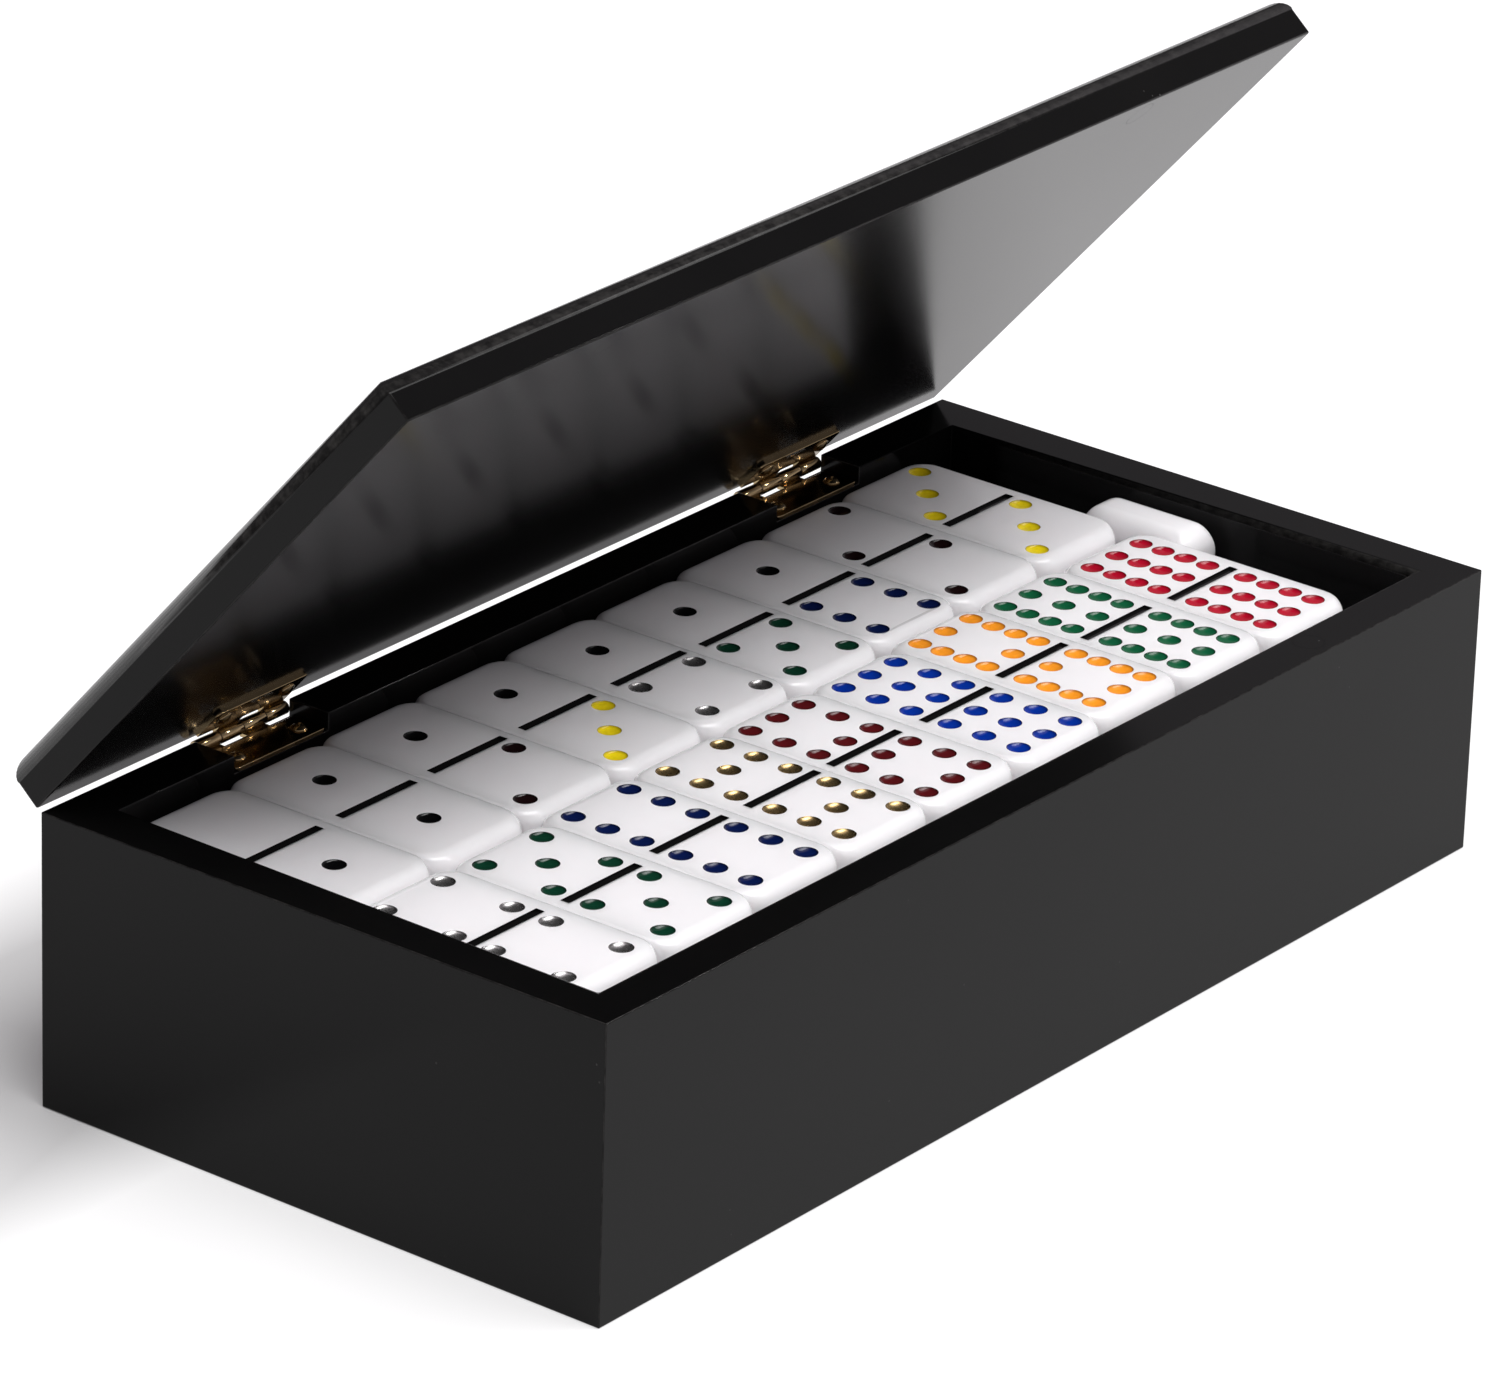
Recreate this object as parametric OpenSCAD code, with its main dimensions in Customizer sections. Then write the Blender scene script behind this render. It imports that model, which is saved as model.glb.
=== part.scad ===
// Domino storage box: a painted wooden box with a butt-hinged lid, filled with a
// double-twelve set of dominoes.
// Origin at the centre of the underside. X runs along the box with the left end at -X,
// Y runs from the front (-Y) to the hinge side (+Y), Z is up. Millimetres.

/* [Dominoes] */
// Length of one domino
domino_l = 50.8; // [40:0.1:60]
// Width of one domino
domino_w = 25.4; // [22:0.1:30]
// Thickness of one domino
domino_t = 9.86; // [8:0.01:12]
// Plan radius of a domino's corners
domino_corner_r = 4.2; // [2:0.1:6]
// Radius of the round-over at a domino's short ends
domino_end_r = 3; // [1:0.5:3.5]
// Radius of the round-over along a domino's long sides
domino_side_r = 1; // [0.4:0.1:2]
// Gap between dominoes in a row, and from the first one to the wall
domino_gap = 0.05; // [0.05:0.01:0.5]
// Gap between two layers of dominoes
layer_gap = 0.04; // [0.02:0.01:0.2]
// Layers of dominoes lying flat
layers = 5; // [2:1:7]

/* [Pips and dividers] */
// Diameter of a pip at the face
pip_d = 4.5; // [3:0.1:5]
// Depth of a pip
pip_depth = 0.9; // [0.4:0.1:1.5]
// Outer pip centres in from the long sides
pip_side_margin = 4.9; // [4:0.1:6]
// Outer pip centres in from the short ends
pip_end_margin = 5.5; // [4:0.1:7]
// Inner pip centres away from the domino's middle
pip_mid_margin = 4.35; // [4:0.05:5]
// Ends of the divider groove in from the long sides
divider_margin = 2.5; // [1.5:0.1:5]
// Width of the divider groove
divider_w = 1.9; // [0.8:0.1:2.5]
// Depth of the divider groove
divider_depth = 0.5; // [0.2:0.1:1]

/* [Box] */
// Thickness of the wall boards
wall_t = 9.5; // [8:0.5:14]
// Thickness of the bottom panel
bottom_t = 5; // [3:0.5:8]
// How far the bottom panel is let into the walls
panel_lap = 4; // [2:0.5:6]
// Play round the bottom panel in its rebate
panel_play = 0.1; // [0.05:0.05:0.5]
// Free width in front of the dominoes, for fingers
front_slack = 6.9; // [4:0.1:20]
// Gap between the left wall and the first domino
row_play = 0.5; // [0.1:0.1:5]
// Gap between the last domino and the upright one
upright_gap = 0.25; // [0.05:0.05:2]
// Free length beside the upright domino at the right end
bay_slack = 2.55; // [0.5:0.05:20]
// Middle of the upright domino behind the box's middle
upright_y = 1.5; // [-10:0.5:10]
// Least depth of the top layer under the rim
rim_drop = 3; // [1:0.5:20]
// Least room over the upright domino, under the rim
upright_headroom = 1.7; // [0.5:0.1:10]
// Chamfer on the box's and lid's sharp edges
edge_ease = 0.4; // [0.2:0.1:1]

/* [Lid] */
// Thickness of the lid board
lid_t = 9; // [8:0.5:14]
// Radius of the round-over on the lid's upper edges
lid_round = 3.5; // [1:0.5:5]
// How far the lid stops short of each end of the box
lid_short = 0.5; // [0:0.1:2]
// Gap between the closed lid and the rim
lid_gap = 0.15; // [0.1:0.05:1]
// Angle at which the lid stands open
lid_open = 49; // [0:1:130]

/* [Hinges] */
// Length of each hinge
hinge_l = 24.5; // [20:0.5:40]
// Left end of the box to the middle of the left hinge
hinge_inset_left = 53.3; // [30:0.1:80]
// Right end of the box to the middle of the right hinge
hinge_inset_right = 51.5; // [30:0.1:80]
// Width of a leaf from the pin's axis to its edge
leaf_w = 10; // [9:0.1:10]
// Thickness of a leaf
leaf_t = 0.8; // [0.7:0.1:1]
// Diameter of the hinge pin
pin_d = 1.2; // [1:0.1:2]
// Radial clearance of the pin in its knuckles
pin_clear = 0.05; // [0.02:0.01:0.08]
// Wall of a knuckle round the pin
knuckle_t = 0.65; // [0.6:0.05:1]
// How far a leaf's back stands out past the barrel
leaf_proud = 0.5; // [0.1:0.05:0.5]
// Pin's axis behind the back wall
pin_overhang = 0.5; // [0.5:0.1:2]
// Number of knuckles on a hinge
knuckles = 4; // [3:1:7]
// Gap between two knuckles
knuckle_gap = 0.2; // [0.1:0.05:0.4]
// Room in a leaf round the other leaf's knuckles, past the leaf's back
notch_play = 0.4; // [0.2:0.1:1]
// Play at each end of a hinge in its mortise
mortise_play = 0.5; // [0.2:0.1:1]

/* [Screws] */
// Hinge screw holes in from the ends of a leaf
screw_end_inset = 3.75; // [2.5:0.05:6]
// Hinge screw holes away from the pin's axis
screw_from_pin = 6.6; // [5:0.1:7]
// Diameter of a screw's head
screw_head_d = 3.6; // [3:0.1:4.4]
// Height of a screw's head
screw_head_h = 0.9; // [0.6:0.1:0.9]
// Diameter of a screw's shank
screw_d = 2.2; // [1.8:0.1:2.6]
// Length of a screw under its head
screw_l = 7; // [5:0.5:8]
// Length of a screw's pointed tip
screw_tip = 1.5; // [1:0.1:2]
// Radial play of a screw in its leaf and pilot hole
screw_play = 0.05; // [0.03:0.01:0.2]

/* [Magnets] */
// Diameter of a magnet
magnet_d = 6; // [4:0.5:7]
// Height of a magnet
magnet_h = 3; // [1:0.5:4]
// Thickness of the filler that hides a magnet
filler_t = 0.5; // [0.3:0.1:1]
// Radial play of a magnet and its filler in the pocket
magnet_play = 0.05; // [0.03:0.01:0.2]
// Left end of the box to the left pair of magnets
magnet_inset_left = 56.8; // [20:0.1:80]
// Right end of the box to the right pair of magnets
magnet_inset_right = 50; // [20:0.1:80]

/* [Hidden] */
// each face-up domino: pips on its back half, pips on its front half, stand-off behind it,
// and how far its moulded pips and divider sit off the middle, to the right and to the back
BACK_ROW = [
    [0, 1, 1.2, -0.1, 0], [1, 1, 0.9, 0.3, 0], [1, 2, 0.6, 0.2, 0],
    [1, 3, 0.7, 0, 0], [1, 4, 0.6, 1, 0], [1, 5, 1.3, 0.4, 0],
    [1, 6, 0.3, 0.5, -0.5], [2, 2, 0.6, -0.5, 0], [3, 3, 0.2, -0.1, 0]
];
FRONT_ROW = [
    [4, 4, 0.1, -0.6, 0.3], [5, 5, 1.1, -0.4, 0], [6, 6, 0.1, 0.1, 0],
    [7, 7, 0.3, 0.8, 0], [8, 8, 0.4, -0.8, 0], [9, 9, 0.4, 0.3, 0],
    [10, 10, 0.1, 0.2, 0.5], [11, 11, 0.6, -0.7, 0], [12, 12, 2.1, -0.3, 0]
];

PAINT = "#222123";
BARE_WOOD = "#2c2a2b";
BRASS = "#c9a558";
STEEL = "#9a9aa0";
IVORY = "#f4f3f5";
SMOOTH = 64;
OVERLAP = 0.01;

row_n = len(BACK_ROW);
pitch = domino_w + domino_gap;
layer_pitch = domino_t + layer_gap;
row_l = row_play + row_n * pitch;

inner_l = row_l + domino_t + bay_slack;
inner_w = 2 * domino_l + front_slack;
inner_h = max(layers * layer_pitch + rim_drop, domino_l + upright_headroom);
box_l = inner_l + 2 * wall_t;
box_w = inner_w + 2 * wall_t;
box_h = bottom_t + inner_h;

barrel_r = pin_d / 2 + pin_clear + knuckle_t;
leaf_back = barrel_r + leaf_proud;
pin_y = box_w / 2 + pin_overhang;
pin_z = box_h + lid_gap - leaf_back;
knuckle_l = hinge_l / knuckles;
left_hinge_x = hinge_inset_left - box_l / 2;
right_hinge_x = box_l / 2 - hinge_inset_right;
screw_x = hinge_l / 2 - screw_end_inset;
screw_hole_d = screw_d + 2 * screw_play;

magnet_x = [magnet_inset_left - box_l / 2, box_l / 2 - magnet_inset_right];
magnet_y = wall_t / 2 - box_w / 2;

pip_x = domino_w / 2 - pip_side_margin;
pip_y = (domino_l / 2 - pip_end_margin - pip_mid_margin) / 2;
half_y = pip_mid_margin + pip_y;
pip_sphere_r = (pow(pip_d / 2, 2) + pow(pip_depth, 2)) / (2 * pip_depth);

// places of the dominoes: a column's x, and each row's y with a stand-off from what is behind
first_x = -inner_l / 2 + row_play + domino_w / 2;
function column_x(i) = first_x + i * pitch;
function back_y(off) = inner_w / 2 - off - domino_l / 2;
function front_y(i, off) = back_y(BACK_ROW[i][2]) - off - domino_l;
function layer_z(n) = bottom_t + n * layer_pitch;
upright_x = -inner_l / 2 + row_l + upright_gap + domino_t / 2;

// pip places on one half, in steps of pip_x and pip_y: +1 is right, and to the back
function edge_pips(n) = [for (i = [0:n - 1], x = [-1, 1]) [x, 2 * i / (n - 1) - 1]];
function pips(n) =
    n == 0 ? [] :
    n == 1 ? [[0, 0]] :
    n == 2 ? [[1, 1], [-1, -1]] :
    n == 3 ? concat(pips(2), pips(1)) :
    n == 4 ? edge_pips(2) :
    n == 5 ? concat(edge_pips(2), pips(1)) :
    n == 6 ? edge_pips(3) :
    n == 7 ? concat(edge_pips(3), pips(1)) :
    n == 8 ? concat(edge_pips(3), [[0, 1], [0, -1]]) :
    n == 9 ? concat(pips(8), pips(1)) :
    n == 10 ? concat(edge_pips(4), [[0, 1], [0, -1]]) :
    n == 11 ? concat(edge_pips(4), [for (y = [-1:1]) [0, y]]) :
    concat(edge_pips(4), [for (i = [0:3]) [0, 2 * i / 3 - 1]]);

// flat rectangle with round corners, centred
module rounded_rect(size, r) {
    square([size[0] - 2 * r, size[1]], center = true);
    square([size[0], size[1] - 2 * r], center = true);
    for (x = [-1, 1], y = [-1, 1])
        translate([x * (size[0] / 2 - r), y * (size[1] / 2 - r)]) circle(r, $fn = SMOOTH);
}

// flat rectangle with chamfered corners, centred
module chamfered_rect(size, c) {
    x = size[0] / 2;
    y = size[1] / 2;
    polygon([
        [x - c, -y], [x, c - y], [x, y - c], [x - c, y],
        [c - x, y], [-x, y - c], [-x, c - y], [c - x, -y]
    ]);
}

// a flat shape in X and Z, extruded along Y and centred on it
module along_y(length) {
    translate([0, length / 2, 0]) rotate([90, 0, 0]) linear_extrude(length) children();
}

// a flat shape in Y and Z, extruded along X and centred on it
module along_x(length) {
    translate([-length / 2, 0, 0]) rotate([90, 0, 90]) linear_extrude(length) children();
}

// box standing on z = 0 with all its edges chamfered
module eased_block(size, c) {
    intersection() {
        linear_extrude(size[2]) chamfered_rect([size[0], size[1]], c);
        translate([0, 0, size[2] / 2]) along_x(size[0]) chamfered_rect([size[1], size[2]], c);
        translate([0, 0, size[2] / 2]) along_y(size[1]) chamfered_rect([size[0], size[2]], c);
    }
}

// ---- box ----
module box_shell() {
    difference() {
        eased_block([box_l, box_w, box_h], edge_ease);
        translate([-inner_l / 2, -inner_w / 2, -1]) cube([inner_l, inner_w, box_h + 2]);
        translate([-inner_l / 2 - panel_lap, -inner_w / 2 - panel_lap, -1])
            cube([inner_l + 2 * panel_lap, inner_w + 2 * panel_lap, bottom_t + 1]);
    }
}

// a front board's share of the shell, cut at 45 degrees at both corners
module front_share() {
    x = box_l / 2 + 1;
    y = box_w / 2 + 1;
    linear_extrude(box_h) polygon([[-x, -y], [x, -y], [x - y, 0], [y - x, 0]]);
}

// an end board's share of the shell, on the left
module left_share() {
    x = box_l / 2 + 1;
    y = box_w / 2 + 1;
    linear_extrude(box_h) polygon([[-x, -y], [y - x, 0], [-x, y]]);
}

module bottom_panel() {
    play = panel_lap - panel_play;
    color(BARE_WOOD) translate([-inner_l / 2 - play, -inner_w / 2 - play, 0])
        cube([inner_l + 2 * play, inner_w + 2 * play, bottom_t]);
}

module front_wall() {
    color(PAINT) difference() {
        intersection() {
            box_shell();
            front_share();
        }
        at_magnets() translate([0, 0, box_h - magnet_h - filler_t])
            magnet_disc(magnet_h + filler_t + 1, magnet_play);
    }
}

module back_wall() {
    color(PAINT) difference() {
        intersection() {
            box_shell();
            rotate(180) front_share();
        }
        for (x = [left_hinge_x, right_hinge_x]) translate([x, pin_y, pin_z]) {
            translate([-hinge_l / 2 - mortise_play, -wall_t - pin_overhang - 1, -leaf_back])
                cube([hinge_l + 2 * mortise_play, wall_t + pin_overhang + 2, box_h]);
            at_screws() pilot_hole();
        }
    }
}

module left_wall() {
    color(PAINT) intersection() {
        box_shell();
        left_share();
    }
}

module right_wall() {
    color(PAINT) intersection() {
        box_shell();
        rotate(180) left_share();
    }
}

// ---- lid ----
// turns what is drawn in the closed place to the open one
module lid_place() {
    translate([0, pin_y, pin_z]) rotate([-lid_open, 0, 0]) translate([0, -pin_y, -pin_z])
        children();
}

module lid_blank() {
    lid_l = box_l - 2 * lid_short;
    intersection() {
        linear_extrude(lid_t) chamfered_rect([lid_l, box_w], edge_ease);
        along_x(lid_l) lid_profile(box_w);
        along_y(box_w) lid_profile(lid_l);
    }
}

// chamfered below, rounded over above
module lid_profile(width) {
    x = width / 2;
    polygon([
        [edge_ease - x, 0], [x - edge_ease, 0], [x, edge_ease], [x, lid_t - lid_round],
        [x - lid_round, lid_t - lid_round], [x - lid_round, lid_t],
        [lid_round - x, lid_t], [lid_round - x, lid_t - lid_round],
        [-x, lid_t - lid_round], [-x, edge_ease]
    ]);
    for (s = [-1, 1]) translate([s * (x - lid_round), lid_t - lid_round])
        circle(lid_round, $fn = SMOOTH);
}

module lid_panel() {
    color(PAINT) lid_place() difference() {
        translate([0, 0, box_h + lid_gap]) lid_blank();
        at_magnets() translate([0, 0, box_h + lid_gap - 1])
            magnet_disc(magnet_h + filler_t + 1, magnet_play);
        for (x = [left_hinge_x, right_hinge_x]) translate([x, pin_y, pin_z])
            mirror([0, 0, 1]) at_screws() pilot_hole();
    }
}

// ---- magnets ----
module at_magnets() {
    for (x = magnet_x) translate([x, magnet_y, 0]) children();
}

module magnet_disc(h, play = 0) {
    cylinder(h = h, d = magnet_d + 2 * play, $fn = SMOOTH);
}

module rim_magnets() {
    color(STEEL) at_magnets() translate([0, 0, box_h - magnet_h - filler_t])
        magnet_disc(magnet_h);
}

module rim_magnet_fillers() {
    color(PAINT) at_magnets() translate([0, 0, box_h - filler_t]) magnet_disc(filler_t);
}

module lid_magnets() {
    color(STEEL) lid_place() at_magnets() translate([0, 0, box_h + lid_gap + filler_t])
        magnet_disc(magnet_h);
}

module lid_magnet_fillers() {
    color(PAINT) lid_place() at_magnets() translate([0, 0, box_h + lid_gap])
        magnet_disc(filler_t);
}

// ---- hinges, drawn round the pin's axis with the leaf lying below it ----
module knuckle_span(i, grow) {
    translate([(i + 0.5) * knuckle_l - hinge_l / 2, 0, 0])
        along_x(knuckle_l - knuckle_gap + 2 * grow) children();
}

// own: 0 for the leaf with the first, third and further odd knuckles, 1 for the other
module leaf(own) {
    color(BRASS) difference() {
        union() {
            translate([-hinge_l / 2, -leaf_w, -leaf_back]) cube([hinge_l, leaf_w, leaf_t]);
            for (i = [own:2:knuckles - 1]) knuckle_span(i, 0) circle(barrel_r, $fn = SMOOTH);
        }
        for (i = [1 - own:2:knuckles - 1]) knuckle_span(i, knuckle_gap)
            square(2 * (leaf_back + notch_play), center = true);
        along_x(hinge_l + 2) circle(pin_d / 2 + pin_clear, $fn = SMOOTH);
        at_screws() cylinder(h = 3 * leaf_t, d = screw_hole_d, center = true, $fn = SMOOTH);
    }
}

module pin() {
    color(BRASS) along_x(hinge_l) circle(pin_d / 2, $fn = SMOOTH);
}

// places on the upper side of a leaf
module at_screws() {
    for (x = [-screw_x, screw_x]) translate([x, -screw_from_pin, leaf_t - leaf_back]) children();
}

module pilot_hole() {
    translate([0, 0, -screw_l - screw_play])
        cylinder(h = screw_l + 1, d = screw_hole_d, $fn = SMOOTH);
}

// round-head wood screw, its head standing on z = 0
module screw() {
    dome_r = (pow(screw_head_d / 2, 2) + pow(screw_head_h, 2)) / (2 * screw_head_h);
    slot = [screw_head_d, screw_head_h / 3, screw_head_h];
    difference() {
        intersection() {
            translate([0, 0, screw_head_h - dome_r]) sphere(dome_r, $fn = SMOOTH);
            cylinder(h = screw_head_h + 1, d = screw_head_d + 1, $fn = SMOOTH);
        }
        for (a = [0, 90]) rotate(a) translate([-slot[0] / 3, -slot[1] / 2, screw_head_h / 2])
            cube([slot[0] * 2 / 3, slot[1], slot[2]]);
    }
    translate([0, 0, screw_tip - screw_l])
        cylinder(h = screw_l - screw_tip + OVERLAP, d = screw_d, $fn = SMOOTH);
    translate([0, 0, -screw_l])
        cylinder(h = screw_tip, d1 = screw_d / 4, d2 = screw_d, $fn = SMOOTH);
}

module box_side(x) {
    translate([x, pin_y, pin_z]) children();
}

module lid_side(x) {
    lid_place() translate([x, pin_y, pin_z]) mirror([0, 0, 1]) children();
}

module left_hinge_box_leaf() { box_side(left_hinge_x) leaf(0); }
module left_hinge_lid_leaf() { lid_side(left_hinge_x) leaf(1); }
module left_hinge_pin() { box_side(left_hinge_x) pin(); }
module left_hinge_box_screws() { box_side(left_hinge_x) color(BRASS) at_screws() screw(); }
module left_hinge_lid_screws() { lid_side(left_hinge_x) color(BRASS) at_screws() screw(); }
module right_hinge_box_leaf() { box_side(right_hinge_x) leaf(0); }
module right_hinge_lid_leaf() { lid_side(right_hinge_x) leaf(1); }
module right_hinge_pin() { box_side(right_hinge_x) pin(); }
module right_hinge_box_screws() { box_side(right_hinge_x) color(BRASS) at_screws() screw(); }
module right_hinge_lid_screws() { lid_side(right_hinge_x) color(BRASS) at_screws() screw(); }

// ---- dominoes ----
// plain domino lying on z = 0, its length along Y
module domino_blank() {
    intersection() {
        linear_extrude(domino_t) rounded_rect([domino_w, domino_l], domino_corner_r);
        translate([0, 0, domino_t / 2]) along_x(domino_w)
            rounded_rect([domino_l, domino_t], domino_end_r);
        translate([0, 0, domino_t / 2]) along_y(domino_l)
            rounded_rect([domino_w, domino_t], domino_side_r);
    }
}

// domino d of a row, with back pips towards +Y and front pips towards -Y
module domino(d) {
    color(IVORY) difference() {
        domino_blank();
        translate([d[3], d[4], 0]) {
            for (h = [[d[0], half_y], [d[1], -half_y]], p = pips(h[0]))
                translate([p[0] * pip_x, h[1] + p[1] * pip_y, domino_t + pip_sphere_r - pip_depth])
                    sphere(pip_sphere_r, $fn = SMOOTH);
            translate([divider_margin - domino_w / 2, -divider_w / 2, domino_t - divider_depth])
                cube([domino_w - 2 * divider_margin, divider_w, divider_depth + 1]);
        }
    }
}

// one layer of dominoes lying on the one below, or on the bottom panel
module domino_layer(n) {
    color(IVORY) for (i = [0:row_n - 1]) {
        translate([column_x(i), back_y(BACK_ROW[i][2]), layer_z(n)]) domino_blank();
        translate([column_x(i), front_y(i, FRONT_ROW[i][2]), layer_z(n)]) domino_blank();
    }
}

module back_domino(i) {
    d = BACK_ROW[i];
    translate([column_x(i), back_y(d[2]), layer_z(layers - 1)]) domino(d);
}

module front_domino(i) {
    d = FRONT_ROW[i];
    translate([column_x(i), front_y(i, d[2]), layer_z(layers - 1)]) domino(d);
}

// the odd domino, standing on its short end in the bay at the right
module domino_upright() {
    color(IVORY) translate([upright_x, upright_y, bottom_t]) rotate([0, 0, -90]) rotate([90, 0, 0])
        translate([0, domino_l / 2, -domino_t / 2]) domino_blank();
}

bottom_panel();
front_wall();
back_wall();
left_wall();
right_wall();
lid_panel();
rim_magnets();
rim_magnet_fillers();
lid_magnets();
lid_magnet_fillers();
left_hinge_box_leaf();
left_hinge_lid_leaf();
left_hinge_pin();
left_hinge_box_screws();
left_hinge_lid_screws();
right_hinge_box_leaf();
right_hinge_lid_leaf();
right_hinge_pin();
right_hinge_box_screws();
right_hinge_lid_screws();
domino_layer(0);  // domino_layer_1
domino_layer(1);  // domino_layer_2
domino_layer(2);  // domino_layer_3
domino_layer(3);  // domino_layer_4
domino_upright();
back_domino(0);  // domino_0_1
back_domino(1);  // domino_1_1
back_domino(2);  // domino_1_2
back_domino(3);  // domino_1_3
back_domino(4);  // domino_1_4
back_domino(5);  // domino_1_5
back_domino(6);  // domino_1_6
back_domino(7);  // domino_2_2
back_domino(8);  // domino_3_3
front_domino(0);  // domino_4_4
front_domino(1);  // domino_5_5
front_domino(2);  // domino_6_6
front_domino(3);  // domino_7_7
front_domino(4);  // domino_8_8
front_domino(5);  // domino_9_9
front_domino(6);  // domino_10_10
front_domino(7);  // domino_11_11
front_domino(8);  // domino_12_12
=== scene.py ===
from math import asin, cos, pi, radians, sin, sqrt
import bmesh
import bpy
from mathutils import Matrix, Vector


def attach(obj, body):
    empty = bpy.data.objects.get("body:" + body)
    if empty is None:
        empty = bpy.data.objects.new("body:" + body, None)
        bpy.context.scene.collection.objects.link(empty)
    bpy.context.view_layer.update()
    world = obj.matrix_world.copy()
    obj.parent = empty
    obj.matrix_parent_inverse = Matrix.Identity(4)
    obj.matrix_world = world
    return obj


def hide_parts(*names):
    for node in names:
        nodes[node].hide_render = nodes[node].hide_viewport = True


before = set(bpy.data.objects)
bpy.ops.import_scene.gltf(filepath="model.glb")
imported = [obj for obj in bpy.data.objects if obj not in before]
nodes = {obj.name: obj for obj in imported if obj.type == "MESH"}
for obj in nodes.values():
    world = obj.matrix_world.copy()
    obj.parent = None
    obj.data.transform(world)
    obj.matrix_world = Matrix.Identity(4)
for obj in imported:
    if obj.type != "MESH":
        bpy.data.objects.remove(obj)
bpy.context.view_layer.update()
scene = bpy.context.scene
mm = 0.001
tiny = 1e-6  # in metres: places that differ by less are the same
touch = 1e-7  # points this close together become one
sharpBend, squareBend = 1, 1.4  # in radians: edges that bend more are sharp, or a right angle
flatLeast = 0.9995  # how squarely a face looks along an axis to count as flat

# the box, the lid and the hinges' axis as the source has them, in millimetres
box = {"length": 260.96, "width": 127.5, "height": 57.5, "wall": 9.5, "bottom": 5, "lap": 4,
       "edge": 0.5, "edgeSteps": 3, "corner": 1.5, "cornerSteps": 4}
lid = {"short": 0.5, "thick": 9, "gap": 0.15, "open": 49, "round": 3.5, "roundSteps": 8,
       "edge": 0.35, "edgeSteps": 2, "rubbed": 0.8}
pivot = {"y": 64.25, "z": 55.85}
hinge = {"left": -77.18, "right": 78.98, "length": 24.5, "play": 0.5, "back": 1.8}
magnet = {"left": -73.68, "right": 80.48, "y": -59, "radius": 3.05, "deep": 3.5, "around": 48}


def addNode(tree, kind, inputs=None, **settings):
    node = tree.nodes.new(kind)
    for key, value in settings.items():
        setattr(node, key, value)
    for key, value in (inputs or {}).items():
        if isinstance(value, bpy.types.NodeSocket):
            tree.links.new(value, node.inputs[key])
        else:
            node.inputs[key].default_value = value
    return node


def newMaterial(name, sockets):
    material = bpy.data.materials.new(name)
    material.use_nodes = True
    tree = material.node_tree
    shader = tree.nodes["Principled BSDF"]
    for key, value in sockets.items():
        shader.inputs[key].default_value = value
    return material, tree, shader


def place(tree, turn=(0, 0, 0), move=(0, 0, 0)):
    coords = addNode(tree, "ShaderNodeTexCoord").outputs["Object"]
    return addNode(tree, "ShaderNodeMapping",
                   {"Vector": coords, "Rotation": turn, "Location": move}).outputs[0]


def noise(tree, vector, scale, detail=3, rough=0.5):
    return addNode(tree, "ShaderNodeTexNoise",
                   {"Vector": vector, "Scale": scale, "Detail": detail,
                    "Roughness": rough}).outputs[0]


def remap(tree, value, low, high, toLow=0, toHigh=1):
    return addNode(tree, "ShaderNodeMapRange",
                   {"Value": value, "From Min": low, "From Max": high,
                    "To Min": toLow, "To Max": toHigh}).outputs[0]


def stretch(tree, value, toLow=0, toHigh=1):
    # noise hardly leaves 0.3 to 0.7
    return remap(tree, value, 0.3, 0.7, toLow, toHigh)


def maths(tree, operation, a, b):
    return addNode(tree, "ShaderNodeMath", {0: a, 1: b}, operation=operation).outputs[0]


def blendColor(tree, factor, a, b):
    # sockets 6, 7 and 2 are the colors of this node
    return addNode(tree, "ShaderNodeMix", {0: factor, 6: a, 7: b}, data_type="RGBA").outputs[2]


def bumped(tree, shader, height, strength, distance):
    node = addNode(tree, "ShaderNodeBump",
                   {"Height": height, "Strength": strength, "Distance": distance})
    tree.links.new(node.outputs[0], shader.inputs["Normal"])


def rgba(color):
    return (*color, 1)


def finishPiece(bm, name, materials, body, cadNodes):
    mesh = bpy.data.meshes.new(name)
    bm.to_mesh(mesh)
    bm.free()
    piece = bpy.data.objects.new(name, mesh)
    scene.collection.objects.link(piece)
    for material in materials:
        mesh.materials.append(material)
    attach(piece, body)
    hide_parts(*cadNodes)
    return piece


def cutAway(piece, bm, name):
    # takes the shape in bm out of a finished piece, with its faces' material numbers
    mesh = bpy.data.meshes.new(name)
    bm.to_mesh(mesh)
    bm.free()
    for material in piece.data.materials:
        mesh.materials.append(material)
    cutter = bpy.data.objects.new(name, mesh)
    scene.collection.objects.link(cutter)
    modifier = piece.modifiers.new("cut", "BOOLEAN")
    modifier.operation = "DIFFERENCE"
    modifier.solver = "EXACT"
    modifier.object = cutter
    scene.view_layers[0].update()
    evaluated = piece.evaluated_get(bpy.context.evaluated_depsgraph_get())
    cut = bpy.data.meshes.new_from_object(evaluated)
    piece.modifiers.clear()
    old = piece.data
    piece.data = cut
    cut.name = old.name + "_cut"
    bpy.data.objects.remove(cutter)
    bpy.data.meshes.remove(mesh)
    bpy.data.meshes.remove(old)


def block(bm, size, centre):
    made = bmesh.ops.create_cube(bm, size=1)["verts"]
    bmesh.ops.scale(bm, vec=size, verts=made)
    bmesh.ops.translate(bm, vec=centre, verts=made)
    return made


def facesFacing(faces, direction, least=0.99):
    return [f for f in faces if f.normal.dot(Vector(direction)) > least]


def roundEdges(bm, edges, offset, segments):
    bmesh.ops.bevel(bm, geom=edges, offset=offset, segments=segments, profile=0.5,
                    affect="EDGES", material=-1, clamp_overlap=True)


def isRound(face):
    return max(abs(c) for c in face.normal) < flatLeast


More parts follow.
